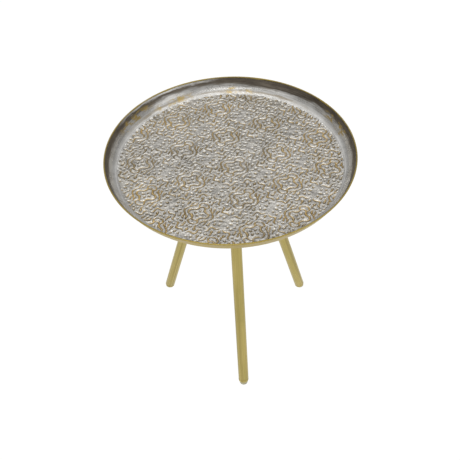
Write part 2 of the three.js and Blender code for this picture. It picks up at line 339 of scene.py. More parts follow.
def make_wall():
    """Inner wall: near-black umber patina at the top, silver in the bend, brass rubbed through."""
    g = Graph("tray_wall")
    x, y, z = g.xyz()[0:3]
    flat = g.vmath("MULTIPLY", g.coord, (1, 1, 0))
    unit = g.vmath("NORMALIZE", flat)
    radius = g.vmath("LENGTH", flat)
    lift = g.add("ShaderNodeCombineXYZ")
    g.link(g.math("MULTIPLY", z, 1.0), lift.inputs[2])
    # long thin streaks round the wall: slow along the rim, quick up the wall
    around = g.vmath("ADD", g.vmath("MULTIPLY", unit, (0.205, 0.205, 0)), lift.outputs[0])
    streak = g.noise(1, 5, 0.6, g.stretch((14, 14, 620), around))
    drag = g.noise(1, 4, 0.6, g.stretch((34, 34, 210), around))
    blotch = g.noise(34, 4, 0.6)
    grain = g.noise(620, 3, 0.6)
    big = g.noise(7, 2, 0.5)
    # height above the floor of the tray, roughened
    h = g.math("SUBTRACT", z, FLOOR_TOP * MM)
    edge = g.math("ADD", h, g.steps(drag, 0.25, 0.75, -0.0034, 0.0034, False))
    edge = g.math("ADD", edge, g.steps(streak, 0.25, 0.75, -0.0016, 0.0016, False))

    def patch(azimuth, width):
        d = g.vmath("DOT_PRODUCT", unit, (math.cos(math.radians(azimuth)), math.sin(math.radians(azimuth)), 0))
        return g.steps(d, math.cos(math.radians(width)), math.cos(math.radians(width * 0.3)))

    # the patina is heaviest at the back right of the tray, and reaches lowest there
    edge = g.math("ADD", edge, g.math("MULTIPLY", patch(61, 24), 0.0036))
    away = g.vmath("DOT_PRODUCT", unit, (math.cos(math.radians(52)), math.sin(math.radians(52)), 0))
    heavy = g.steps(away, 0.55, 0.98)
    dark = g.steps(edge, 0.0108, 0.0178)
    silver = g.mix(g.steps(blotch, 0.3, 0.7), RING_DARK, RING_LIGHT)
    umber = g.mix(g.steps(drag, 0.3, 0.7), WALL_DARK, WALL_MID)
    umber = g.mix(g.math("MULTIPLY", heavy, g.steps(streak, 0.38, 0.66, 0.0, 0.85)), umber, WALL_BLACK)
    umber = g.mix(g.math("MULTIPLY", g.steps(streak, 0.58, 0.72), 0.45), umber, WALL_WARM)
    col = g.mix(dark, silver, umber)
    # thin wash of umber lines down in the bend
    wash = g.math("MULTIPLY", g.steps(streak, 0.5, 0.75), g.steps(edge, 0.002, 0.010, 0.0, 0.55))
    col = g.mix(wash, col, WALL_MID)
    # painted shade: a darker ring in the back of the bend, between its two highlights
    bend_shade = g.math("ADD", h, g.steps(drag, 0.25, 0.75, -0.0012, 0.0012, False))
    bend_shade = g.math("MULTIPLY", g.steps(bend_shade, 0.0022, 0.0036), g.steps(bend_shade, 0.0060, 0.0046))
    bend_shade = g.math("MULTIPLY", bend_shade, g.steps(g.noise(1, 3, 0.6, g.stretch((30, 30, 30), around)), 0.3, 0.6, 0.2, BEND_SHADE_AMOUNT))
    col = g.mix(g.math("MULTIPLY", bend_shade, g.math("MAXIMUM", patch(70, 40), patch(118, 40))), col, WALL_WARM)

    # brass rubbed through, in patches at the sides and back
    where = g.math("MAXIMUM", patch(143, 15), patch(18, 13))
    low = g.math("MULTIPLY", g.math("MAXIMUM", patch(80, 10), patch(118, 14)), 0.8)
    band = g.math("MULTIPLY", g.steps(edge, 0.006, 0.010), g.steps(edge, 0.020, 0.015))
    low_band = g.math("MULTIPLY", g.steps(edge, 0.0005, 0.003), g.steps(edge, 0.011, 0.007))
    rub = g.steps(g.noise(1, 4, 0.62, g.stretch((60, 60, 150), around)), 0.47, 0.56)
    worn = g.math("MULTIPLY", rub, g.math("MAXIMUM", g.math("MULTIPLY", where, band), g.math("MULTIPLY", low, low_band)))
    col = g.mix(worn, col, RUB)
    # the patina thins out towards the edge at the back left
    thin = g.math("MULTIPLY", patch(124, 36), g.steps(edge, 0.0195, 0.0228))
    col = g.mix(g.math("MULTIPLY", thin, g.steps(drag, 0.35, 0.6, 0.6, 1.0)), col, RING_LIGHT)
    rim = g.steps(g.math("ADD", h, g.steps(drag, 0.3, 0.7, -0.0008, 0.0008, False)), 0.0236, 0.0246)
    gilt = g.steps(g.noise(1, 3, 0.5, g.stretch((22, 22, 22), around)), 0.42, 0.58, 0.55, 1.0)
    col = g.mix(g.math("MULTIPLY", rim, gilt), col, OUT_B)
    g.set(Base_Color=col, Metallic=0.7)
    rough = g.steps(dark, 0, 1, 0.27, 0.42, False)
    g.set(Roughness=g.math("ADD", rough, g.steps(blotch, 0.3, 0.7, -0.03, 0.06, False)))
    n = g.bump(streak, 0.35, 0.0004)
    n = g.bump(g.noise(70, 3, 0.5), 0.25, 0.0012, n)
    g.set(Normal=g.bump(grain, 0.22, 0.0003, n))
    return g.mat


def make_outside(name="tray_outside", relief=False):
    """Satin brass paint on the edge, the outside and the underside of the tray."""
    g = Graph(name)
    blotch = g.noise(40, 4, 0.6)
    grain = g.noise(700, 3, 0.6)
    cloud = g.noise(11, 2, 0.5)
    col = g.mix(g.steps(blotch, 0.3, 0.7), OUT_A, OUT_B)
    col = g.mix(g.steps(cloud, 0.5, 0.75, 0.0, 0.35), col, OUT_GREEN)
    if relief:
        h = g.attribute("recess")
        col = g.mix(g.steps(h, 0.15, 0.5, 0.0, 0.35), col, OUT_DARK)
        col = g.mix(g.steps(h, 0.6, 0.95, 0.0, 0.5), col, OUT_B)
    z = g.xyz()[2]
    top = g.math("MULTIPLY", g.steps(z, 0.4485, 0.4497), g.steps(g.noise(60, 3, 0.6), 0.4, 0.6, 0.2, 0.7))
    col = g.mix(top, col, OUT_PALE)
    dirt = g.math("MULTIPLY", g.steps(g.noise(230, 4, 0.7), 0.6, 0.72), 0.3)
    col = g.mix(dirt, col, OUT_DARK)
    g.set(Base_Color=col, Metallic=0.8)
    g.set(Roughness=g.steps(blotch, 0.3, 0.7, 0.36, 0.48, False))
    n = g.bump(grain, 0.25, 0.0003)
    g.set(Normal=g.bump(g.noise(90, 3, 0.5), 0.2, 0.0008, n))
    return g.mat


def make_leg():
    """Satin antique brass tube with fine lines drawn along it; local Z is the tube's axis."""
    g = Graph("leg_brass")
    fine = g.noise(1, 4, 0.65, g.stretch((900, 900, 5)))
    lines = g.noise(1, 3, 0.6, g.stretch((300, 300, 3)))
    blotch = g.noise(55, 4, 0.6)
    cloud = g.noise(1, 2, 0.5, g.stretch((30, 30, 9)))
    col = g.mix(g.steps(cloud, 0.35, 0.65), LEG_A, LEG_B)
    col = g.mix(g.steps(lines, 0.45, 0.68, 0.0, 0.55), col, LEG_DARK)
    col = g.mix(g.steps(fine, 0.5, 0.7, 0.0, 0.45), col, LEG_PALE)
    col = g.mix(g.steps(blotch, 0.55, 0.75, 0.0, 0.3), col, LEG_GREEN)
    g.set(Base_Color=col, Metallic=0.8)
    g.set(Roughness=g.math("ADD", g.steps(fine, 0.3, 0.7, 0.36, 0.46, False), g.steps(blotch, 0.3, 0.7, -0.03, 0.03, False)))
    n = g.bump(fine, 0.22, 0.00025)
    g.set(Normal=g.bump(g.noise(900, 2, 0.6), 0.15, 0.0002, n))
    return g.mat


def make_plate():
    """The brass paint of the hub plate and the bosses, darker and coarser than the tube."""
    g = Graph("hub_brass")
    blotch = g.noise(48, 4, 0.6)
    grain = g.noise(900, 3, 0.6)
    peel = g.noise(330, 2, 0.5)
    col = g.mix(g.steps(blotch, 0.3, 0.7), LEG_A, LEG_B)
    col = g.mix(g.steps(g.noise(150, 4, 0.7), 0.58, 0.74, 0.0, 0.5), col, LEG_DARK)
    col = g.mix(g.steps(g.noise(14, 2, 0.5), 0.5, 0.75, 0.0, 0.35), col, LEG_GREEN)
    g.set(Base_Color=col, Metallic=0.8)
    g.set(Roughness=g.steps(blotch, 0.3, 0.7, 0.38, 0.52, False))
    n = g.bump(peel, 0.3, 0.0004)
    g.set(Normal=g.bump(grain, 0.2, 0.0002, n))
    return g.mat


def make_weld():
    """Weld bead under the same paint, with heat-darkened edges."""
    g = Graph("weld_brass")
    blotch = g.noise(160, 4, 0.6)
    col = g.mix(g.steps(blotch, 0.3, 0.7), LEG_DARK, LEG_A)
    col = g.mix(g.steps(g.noise(420, 3, 0.6), 0.55, 0.7, 0.0, 0.7), col, srgb(96, 78, 52))
    g.set(Base_Color=col, Metallic=0.8)
    g.set(Roughness=g.steps(blotch, 0.3, 0.7, 0.42, 0.6, False))
    g.set(Normal=g.bump(g.noise(800, 3, 0.6), 0.4, 0.0003))
    return g.mat


def make_steel():
    """Zinc-plated steel with faint spangle, turning marks and a yellowish cast in places."""
    g = Graph("zinc_steel")
    spangle = g.add("ShaderNodeTexVoronoi", feature="F1")
    spangle.inputs["Scale"].default_value = 520
    g.link(g.coord, spangle.inputs["Vector"])
    cell = g.steps(spangle.outputs["Distance"], 0.1, 0.9)
    rings = g.noise(1, 3, 0.6, g.stretch((60, 60, 2600)))
    blotch = g.noise(120, 4, 0.6)
    col = g.mix(cell, srgb(176, 178, 178), srgb(142, 144, 146))
    col = g.mix(g.steps(blotch, 0.5, 0.72, 0.0, 0.4), col, srgb(176, 168, 140))
    g.set(Base_Color=col, Metallic=1.0)
    g.set(Roughness=g.math("ADD", g.steps(blotch, 0.3, 0.7, 0.24, 0.36, False), g.steps(rings, 0.3, 0.7, 0.0, 0.08, False)))
    n = g.bump(rings, 0.2, 0.0001)
    g.set(Normal=g.bump(cell, 0.1, 0.0001, n))
    return g.mat


def make_nylon():
    """Moulded nylon floor pad: fine matt grain, greyed where it rubs on the floor."""
    g = Graph("pad_nylon")
    grain = g.noise(1600, 3, 0.6)
    blotch = g.noise(200, 3, 0.6)
    col = g.mix(g.steps(blotch, 0.3, 0.7), srgb(176, 170, 136), srgb(192, 187, 155))
    worn = g.math("MULTIPLY", g.steps(g.xyz()[2], 0.0012, 0.0, 0.0, 1.0), g.steps(g.noise(500, 4, 0.6), 0.4, 0.6))
    col = g.mix(worn, col, srgb(120, 116, 100))
    g.set(Base_Color=col, Metallic=0.0)
    g.set(Roughness=g.steps(grain, 0.3, 0.7, 0.48, 0.6, False))
    g.set(Normal=g.bump(grain, 0.3, 0.0002))
    return g.mat


RELIEF_BUMP = 0.0023
# amounts of the painted shade and the painted highlight on the slopes of the recesses
PAINTED_SHADE_AMOUNT = 1.0
PAINTED_HIGHLIGHT_AMOUNT = 0.9
LAND_LIGHT = srgb(222, 219, 213)
LAND_DARK = srgb(142, 138, 130)
LAND_WARM = srgb(184, 179, 166)
RING_LIGHT = srgb(218, 217, 214)
RING_DARK = srgb(194, 192, 188)
# bright metal on worn edges, and also the painted highlight on the back slopes of the recesses
WORN_METAL_AND_HIGHLIGHT = srgb(240, 238, 232)
UMBER_A = srgb(124, 117, 102)
UMBER_B = srgb(152, 145, 128)
# colour of the painted shade on the front slopes of the recesses
PAINTED_SHADE_COLOUR = srgb(50, 45, 38)
GOLD_A = srgb(190, 163, 106)
GOLD_B = srgb(216, 189, 132)
WALL_DARK = srgb(92, 84, 74)
WALL_MID = srgb(120, 112, 100)
WALL_BLACK = srgb(58, 49, 41)
# strength of the painted shade ring in the back of the bend
BEND_SHADE_AMOUNT = 0.6
WALL_WARM = srgb(134, 118, 88)
RUB = srgb(186, 160, 92)
OUT_A = srgb(160, 141, 76)
OUT_B = srgb(171, 152, 84)
OUT_GREEN = srgb(148, 134, 72)
OUT_DARK = srgb(112, 94, 50)
OUT_PALE = srgb(178, 156, 86)
LEG_A = srgb(173, 158, 92)
LEG_B = srgb(183, 166, 100)
LEG_DARK = srgb(136, 120, 64)
LEG_PALE = srgb(210, 194, 130)
LEG_GREEN = srgb(158, 148, 86)

RELIEF = make_relief()
WALL = make_wall()
OUTSIDE = make_outside()
UNDERSIDE = make_outside("tray_underside", relief=True)
LEG = make_leg()
HUB = make_plate()
WELD = make_weld()
STEEL = make_steel()
NYLON = make_nylon()

# ---- the embossed pattern ----------------------------------------------------------
# One quadrant of a medallion, in millimetres, u along its long axis. A pit is
# (u, v, ru, rv, tilt, depth); a stroke is a list of points, a list of radii and a depth.
CELL_U, CELL_V = 59.1, 46.45
PITS = [
    (5.2, 0.0, 2.5, 1.75, 0, 0.9),
    (0.0, 5.2, 1.9, 2.3, 0, 0.9),
    (14.9, 24.7, 3.9, 1.7, 0, 0.7),
    (16.4, 24.7, 2.3, 1.95, 0, 0.95),
    (4.4, 29.6, 2.2, 1.5, 30, 0.6),
    (0.0, 38.0, 1.9, 2.8, 0, 0.95),
    (8.0, 39.6, 2.3, 1.6, -25, 0.8),
    (10.4, 32.9, 2.5, 2.0, 15, 0.95),
    (37.8, 0.0, 3.4, 1.9, 0, 1.0),
    (32.8, 10.2, 2.8, 2.0, 20, 1.0),
    (29.8, 3.3, 2.0, 1.35, -20, 0.75),
    (24.5, 16.1, 1.6, 2.3, 0, 0.9),
    (23.8, 23.3, 2.1, 1.6, 30, 0.6),
    (17.6, 18.1, 2.0, 1.3, -5, 0.8),
    (14.2, 13.0, 2.0, 1.5, -20, 0.95),
]
STROKES = [
    # ring round the star
    ([(-2.6, 15.6), (0, 16.2), (2.6, 15.6), (4.7, 13.8), (5.6, 11.0), (6.6, 8.4), (8.3, 6.5), (10.8, 5.3), (13.3, 4.5), (15.2, 2.8), (15.9, 0), (15.2, -2.8)],
     [1.3, 1.35, 1.3, 1.3, 1.3, 1.7, 1.75, 1.4, 1.2, 1.15, 1.1, 1.15], 0.9),
    # outer arc over the north crescent, running down into the scroll
    ([(-3.4, 22.7), (0, 23.3), (3.4, 22.7), (6.4, 20.8), (8.6, 18.6), (11.0, 16.6), (12.4, 14.4), (14.4, 12.9), (17.2, 12.5), (19.8, 12.0)],
     [1.2, 1.25, 1.2, 1.0, 0.9, 1.0, 1.15, 1.2, 0.9, 0.6], 0.85),
    ([(8.6, 18.6), (12.0, 18.9), (15.0, 18.6), (17.8, 18.1), (19.4, 17.5)],
     [0.8, 0.9, 1.0, 1.2, 0.8], 0.7),
    # outer arc round the east crescent
    ([(12.8, 4.9), (15.4, 6.4), (18.2, 7.5), (20.6, 6.9), (22.6, 4.6), (23.7, 2.2), (24.0, 0), (23.7, -2.2)],
     [1.2, 1.2, 1.2, 1.1, 1.0, 1.0, 1.0, 1.0], 0.75),
    # tail of the big pit of the east palmette
    ([(24.2, 9.4), (26.4, 9.0), (29.2, 9.2), (31.5, 9.9)], [0.7, 1.0, 1.0, 1.2], 0.75),
    # boundary groove of the medallion
    ([(15.4, 43.6), (17.6, 41.6), (18.7, 38.8), (18.0, 35.4), (17.6, 32.2), (19.6, 30.3), (23.4, 29.8), (27.0, 29.5), (28.9, 27.6), (29.5, 25.4)],
     [0.6, 0.9, 1.5, 1.1, 1.5, 1.2, 0.9, 1.3, 0.8, 0.5], 0.75),
    # veins of the petals over the north arc
    ([(0, 33.6), (0, 30.6)], [0.7, 0.9], 0.35),
    ([(8.4, 25.3), (10.6, 24.8), (13.0, 24.6)], [0.6, 0.9, 1.1], 0.6),
    # small veins of the east palmette
    ([(31.0, 0), (33.5, 0), (36.5, 0)], [0.5, 0.8, 1.0], 0.5),
]
# centre of one medallion and the two steps of its lattice on the tray floor
STAR = np.array([5.181, -8.892])
STEP_A = np.array([8.622, -77.378])
STEP_B = np.array([72.861, 26.862])
EDGE = 1.15  # width of the slope at the edge of a recess
PER_MM = 6


def stroke_discs():
    out = []
    for pts, rad, depth in STROKES:
        p, r = np.array(pts, float), np.array(rad, float)
        ext = np.vstack([2 * p[0] - p[1], p, 2 * p[-1] - p[-2]])
        for i in range(len(p) - 1):
            a, b, c, d = ext[i : i + 4]
            n = max(2, int(math.hypot(*(c - b)) / 0.35))
            for k in range(n + (i == len(p) - 2)):
                t = k / n
                q = 0.5 * (2 * b + (c - a) * t + (2 * a - 5 * b + 4 * c - d) * t * t + (3 * b - a - 3 * c + d) * t**3)
                out.append((q[0], q[1], r[i] * (1 - t) + r[i + 1] * t, depth))
    return out


def soft(s):
    t = np.clip(0.5 - s / EDGE, 0, 1)
    return t * t * (3 - 2 * t)


def pattern_tile(lines_only=False):
    """Recess depth, 0 to 1, over one quadrant of the medallion, or how far a point is in a line."""
    nu, nv = int(round(CELL_U * PER_MM)), int(round(CELL_V * PER_MM))
    su, sv = CELL_U / nu, CELL_V / nv
    h = np.zeros((nv + 1, nu + 1))

    def dab(u, v, reach, shape, depth):
        i0, i1 = max(0, int((u - reach) / su)), min(nu, int((u + reach) / su) + 1)
        j0, j1 = max(0, int((v - reach) / sv)), min(nv, int((v + reach) / sv) + 1)
        if i0 > i1 or j0 > j1:
            return
        uu, vv = np.meshgrid(np.arange(i0, i1 + 1) * su, np.arange(j0, j1 + 1) * sv)
        part = h[j0 : j1 + 1, i0 : i1 + 1]
        np.maximum(part, depth * soft(shape(uu - u, vv - v)), out=part)

    discs = stroke_discs()
    for a in (1, -1):
        for b in (1, -1):
            for mate in (False, True):
                def place(u, v):
                    u, v = a * u, b * v
                    return (CELL_U - u, CELL_V - v) if mate else (u, v)

                for u, v, r, depth in discs:
                    cu, cv = place(u, v)
                    dab(cu, cv, r + EDGE, lambda x, y, r=r: np.hypot(x, y) - r, 1.0 if lines_only else depth)
                for u, v, ru, rv, tilt, depth in [] if lines_only else PITS:
                    cu, cv = place(u, v)
                    t = math.radians(tilt * a * b)
                    ct, st = math.cos(t), math.sin(t)

                    def shape(x, y, ru=ru, rv=rv, ct=ct, st=st):
                        q = np.hypot((x * ct + y * st) / ru, (-x * st + y * ct) / rv)
                        return (q - 1) * min(ru, rv)

                    dab(cu, cv, max(ru, rv) + EDGE, shape, depth)
    return h


TILE = pattern_tile()
LINES = pattern_tile(True)
LATTICE = np.linalg.inv(np.stack([(STEP_B - STEP_A) / (2 * CELL_U), (STEP_A + STEP_B) / (2 * CELL_V)], 1))


def recess(x, y, tile=TILE):
    """Value of a pattern tile at points of the tray floor in millimetres. The stamping is drawn
    out a little unevenly, by up to 4 mm over the whole floor."""
    a, b = x / 150.0, y / 150.0
    bb = np.minimum(b * b, 1.1)
    dx = 0.33 - 0.17 * a + 0.04 * b + 0.54 * a * a + 1.59 * a * b
    dy = -2.53 + 0.04 * a - 0.89 * b + 2.02 * a * a + 1.56 * a * b + 5.18 * bb
    dx = dx + 0.22 * np.sin(x * 0.61 + y * 0.37 + 1.3) + 0.18 * np.sin(y * 0.83 - x * 0.29 + 4.0)
    dy = dy + 0.22 * np.sin(y * 0.57 - x * 0.43 + 2.1) + 0.18 * np.sin(x * 0.79 + y * 0.31 + 0.4)
    p = np.stack([x - dx - STAR[0], y - dy - STAR[1]], -1) @ LATTICE.T
    fold = []
    for k, half in ((0, CELL_U), (1, CELL_V)):
        c = np.mod(p[..., k], 2 * half)
        fold.append(np.minimum(c, 2 * half - c))
    gu = fold[0] / CELL_U * (tile.shape[1] - 1)
    gv = fold[1] / CELL_V * (tile.shape[0] - 1)
    i = np.clip(gu.astype(int), 0, tile.shape[1] - 2)
    j = np.clip(gv.astype(int), 0, tile.shape[0] - 2)
    fu, fv = gu - i, gv - j
    return (
        tile[j, i] * (1 - fu) * (1 - fv)
        + tile[j, i + 1] * fu * (1 - fv)
        + tile[j + 1, i] * (1 - fu) * fv
        + tile[j + 1, i + 1] * fu * fv
    )


# ---- tray -------------------------------------------------------------------------------
RELIEF_DEPTH = 0.8
RELIEF_UNDER = 0.55
RIB = 0.3  # raised line where the floor turns into the bend
RIB_AT = 188.0


def build_tray():
    half = SHEET / 2
    up = (math.sin(FLARE), math.cos(FLARE))
    out = (math.cos(FLARE), -math.sin(FLARE))
    bead = (RADIUS - BEAD_R, HEIGHT - BEAD_R)
    drop = math.sqrt(BEAD_R**2 - half**2)
    straight = (bead[1] + half * math.sin(FLARE) - FLOOR_TOP - BEND * (1 - math.sin(FLARE))) / math.cos(FLARE)
    flat_r = bead[0] - (half + BEND) * math.cos(FLARE) - straight * math.sin(FLARE)
    bend_z = FLOOR_TOP + BEND

    def on_bend(radius, a):
        return flat_r + radius * math.cos(a), bend_z + radius * math.sin(a)

    rings, zones = [], []   # zones[k] is the material of the strip after ring k
    depth, lines, shading_slope = [], [], []   # recess, line and front-to-back slope at each ring's vertices

    def add(r, z, n, zone, relief=0.0, phase=0.0):
        """A ring; relief is the signed height of a full recess."""
        if r < 1e-9:
            x, y, a = np.zeros(1), np.zeros(1), np.zeros(1)
        else:
            a = ring_angles(n, phase)
            x, y = r * np.cos(a), r * np.sin(a)
        fade = 1 - float(np.clip((r - 183.0) / 3.0, 0, 1))
        fade = fade * fade * (3 - 2 * fade)
        if zone == 3:
            fade = fade * float(np.clip((r - 78.0) / 4.0, 0, 1))
        if relief and fade > 0:
            h = recess(x, y) * fade
            lines.append(recess(x, y, LINES) * fade)
            # front-to-back slope of the recess, which places the painted shade and highlight on the floor
            shading_slope.append((recess(x, y + 0.55) - recess(x, y - 0.55)) * fade)
        else:
            h = np.zeros(len(x))
            lines.append(h)
            shading_slope.append(h)
        rings.append((x, y, np.full(len(x), z) + relief * h, phase))
        zones.append(zone)
        depth.append(h)

    # floor, finely divided for the embossing
    pitch = 1.02
    count = int(round(flat_r / pitch))
    pitch = flat_r / count
    add(0, FLOOR_TOP, 1, 0, -RELIEF_DEPTH)
    for i in range(1, count + 1):
        add(i * pitch, FLOOR_TOP, 6 * i, 0, -RELIEF_DEPTH, (i * 0.5) % 1.0)
    n_floor = 6 * count
    n_wall = 400
    # inner bend
    for s in (1.0, 2.0, 3.0, 4.0, 5.0, 6.0, 6.8):
        a = -math.pi / 2 + s / BEND
        r, z = on_bend(BEND, a)
        add(r, z, n_floor, 0, -RELIEF_DEPTH)
    end = math.pi / 2 - FLARE
    for s in (7.3, 7.8, 8.3, 8.8, 9.3, 10.2, 11.6, 13.4, 15.2, 17.2, end * BEND):
        a = -math.pi / 2 + s / BEND
        r, z = on_bend(BEND - RIB * math.exp(-(((s - 8.3) / 0.6) ** 2)), a)
        add(r, z, n_wall, 1)
    # wall up to the bead
    r0, z0 = on_bend(BEND, -FLARE)
    turn0 = math.atan2(-drop * up[1] - half * out[1], -drop * up[0] - half * out[0])
    r1, z1 = bead[0] + BEAD_R * math.cos(turn0), bead[1] + BEAD_R * math.sin(turn0)
    for t in (0.12, 0.25, 0.4, 0.55, 0.7, 0.85, 0.96):
        add(r0 + (r1 - r0) * t, z0 + (z1 - z0) * t, n_wall, 1)
    turn1 = math.atan2(-drop * up[1] + half * out[1], -drop * up[0] + half * out[0])
    sweep = (turn0 - turn1) % (2 * math.pi)
    for k in range(0, 11):
        a = turn1 + sweep * (1 - k / 10)
        add(bead[0] + BEAD_R * math.cos(a), bead[1] + BEAD_R * math.sin(a), n_wall, 1 if k < 3 else 2)
    # outside of the wall, down to the bend
    r0, z0 = bead[0] + BEAD_R * math.cos(turn1), bead[1] + BEAD_R * math.sin(turn1)
    r1, z1 = on_bend(BEND + SHEET, -FLARE)
    for t in (0.06, 0.25, 0.5, 0.75, 1.0):
        add(r0 + (r1 - r0) * t, z0 + (z1 - z0) * t, n_wall, 2)
    for k in range(1, 10):
        a = -FLARE + (k / 10) * (-math.pi / 2 + FLARE)
        r, z = on_bend(BEND + SHEET, a)
        add(r, z, n_wall, 2)
    # underside with the back of the embossing
    r = flat_r
    k = 0
    while r > 79.0:
        add(r, FLOOR_UNDER, int(round(2 * math.pi * r / 2.9)), 3, -RELIEF_UNDER, (k * 0.5) % 1.0)
        r -= 2.6
        k += 1
    for r, n in ((76.0, 120), (50.0, 72), (25.0, 36), (10.0, 16)):
        add(r, FLOOR_UNDER, n, 3)
    add(0, FLOOR_UNDER, 1, 3)

    verts, tris, start = skin(rings)
    mats = np.concatenate([np.full(len(t), zones[i]) for i, t in enumerate(tris)])
    tray = new_mesh(
        "tray_body",
        verts,
        np.concatenate(tris),
        [RELIEF, WALL, OUTSIDE, UNDERSIDE],
        mats,
        sharp=None,
        attrs={"recess": np.concatenate(depth), "line": np.concatenate(lines), "shading_slope": np.concatenate(shading_slope)},
    )
    return done(tray, "top", "tray")


build_tray()


# ---- hub plate ---------------------------------------------------------------------------
def build_plate():
    edge = 0.8
    body = turned(
        [(0, PLATE_UNDER)]
        + [(r, PLATE_UNDER) for r in (20, 45, PLATE_R - edge - 0.3)]
        + arc(PLATE_R - edge, PLATE_UNDER + edge, edge, -90, 0, 4)
        + arc(PLATE_R - edge, PLATE_TOP - edge, edge, 0, 90, 4)
        + [(45, PLATE_TOP), (20, PLATE_TOP), (0, PLATE_TOP)],
        144,
    )
    plate = new_mesh("hub_disc", body[0], body[1], [HUB], sharp=None)
    cutters = []
    for k, az in enumerate(STUD_AZ):
        a = math.radians(az)
        v, t = turned([(0, PLATE_UNDER - 2), (3.4, PLATE_UNDER - 2), (3.4, PLATE_TOP + 2), (0, PLATE_TOP + 2)], 40)
        v = v + np.array([STUD_CIRCLE * math.cos(a), STUD_CIRCLE * math.sin(a), 0])
        cut = new_mesh(f"cut_{k}", v, t, [HUB], sharp=None)
        cutters.append(cut)
        m = plate.modifiers.new(f"hole_{k}", "BOOLEAN")
        m.operation = "DIFFERENCE"
        m.solver = "EXACT"
        m.object = cut
    dg = bpy.context.evaluated_depsgraph_get()
    me = bpy.data.meshes.new_from_object(plate.evaluated_get(dg))
    plate.modifiers.clear()
    plate.data = me
    me.polygons.foreach_set("use_smooth", np.ones(len(me.polygons), bool))
    me.set_sharp_from_angle(angle=math.radians(40))
    for cut in cutters:
        bpy.data.objects.remove(cut)
    return done(plate, "top", "hub_plate")


build_plate()


# ---- threads and fasteners -----------------------------------------------------------------
def threaded(r_major, depth, pitch, z0, z1, segs, per_turn, plain=0.0, tip=None, base=None):
    """Threaded rod about Z from z0 to z1: the flanks follow a helix, and both ends are closed.
    plain is a smooth length at the lower end; tip and base are the lengths of the end tapers."""
    step = pitch / per_turn
    n = int(round((z1 - z0) / step))
    a = ring_angles(segs)
    rings = [(np.zeros(1), np.zeros(1), np.full(1, z0), 0.0)]
    for k in range(n + 1):
        z = z0 + (z1 - z0) * k / n
        phase = (z / pitch - a / (2 * math.pi)) % 1.0
        tooth = 1 - np.clip(np.abs(phase - 0.5) * 2.6 - 0.15, 0, 1)
        cut = depth * (1 - tooth)
        if z - z0 < plain:
            cut = cut * 0
        r = r_major - cut
        if tip:
            r = np.minimum(r, r_major - max(0.0, tip - (z1 - z)))
        if base:
            r = np.minimum(r, r_major - max(0.0, base - (z - z0)))
        rings.append((r * np.cos(a), r * np.sin(a), np.full(segs, z), 0.0))
    rings.append((np.zeros(1), np.zeros(1), np.full(1, z1), 0.0))
    verts, tris, _ = skin(rings)
    return verts, np.concatenate(tris)


def build_fasteners():
    stud_top = PLATE_TOP
    stud_end = stud_top - 12.0
    washer_top = PLATE_UNDER - 0.3
    nut_top = washer_top - 1.2 - 0.3
    for k, az in enumerate(STUD_AZ):
        n = k + 1
        a = math.radians(az)
        at = Matrix.Translation((STUD_CIRCLE * math.cos(a) * MM, STUD_CIRCLE * math.sin(a) * MM, 0)) @ Matrix.Rotation(a, 4, "Z")
        v, t = threaded(3.0, 0.5, 1.0, stud_end, stud_top, 28, 6, base=0.7)
        done(new_mesh(f"weld_stud_{n}", v, t, [STEEL], sharp=50, matrix=at), "top", f"tray_stud_{n}")

        lo, hi, c = washer_top - 1.2, washer_top, 0.25
        v, t = turned(
            arc(6.4 - c, lo + c, c, -90, 0, 3) + arc(6.4 - c, hi - c, c, 0, 90, 3)
            + arc(3.3 + c, hi - c, c, 90, 180, 3) + arc(3.3 + c, lo + c, c, 180, 270, 3),
            56,
        )
        done(new_mesh(f"washer_{n}", v, t, [STEEL], sharp=50, matrix=at), "top", f"plate_washer_{n}")

        # hexagon nut: the flats meet a 30 degree chamfer cone at both ends
        segs = 96
        ang = ring_angles(segs)
        flat = 5.0 / np.cos((ang + math.pi / 6) % (math.pi / 3) - math.pi / 6)
        lo, hi = nut_top - 5.0, nut_top
        cone = 4.85
        rings = []

        def ring(r, z):
            rings.append((r * np.cos(ang), r * np.sin(ang), np.broadcast_to(z, (segs,)).astype(float), 0.0))

        ring(np.full(segs, 3.75), lo)
        ring(np.full(segs, cone), lo)
        ring(flat, lo + (flat - cone) * 0.577)
        for s in (0.3, 0.5, 0.7):
            ring(flat, lo + (hi - lo) * s)
        ring(flat, hi - (flat - cone) * 0.577)
        ring(np.full(segs, cone), hi)
        ring(np.full(segs, 3.75), hi)
        turns = 30
        for i in range(turns + 1):
            z = hi - 0.35 - (hi - lo - 0.7) * i / turns
            phase = (z / 1.0 - ang / (2 * math.pi)) % 1.0
            ring(3.32 + 0.3 * np.clip(1.2 - np.abs(phase - 0.5) * 2.6, 0, 1), z)
        v, tris, start = skin(rings)
        tris.append(zipper(start[-1], segs, 0.0, start[0], segs, 0.0))
        done(new_mesh(f"hex_nut_{n}", v, np.concatenate(tris), [STEEL], sharp=22, matrix=at), "top", f"plate_nut_{n}")


build_fasteners()


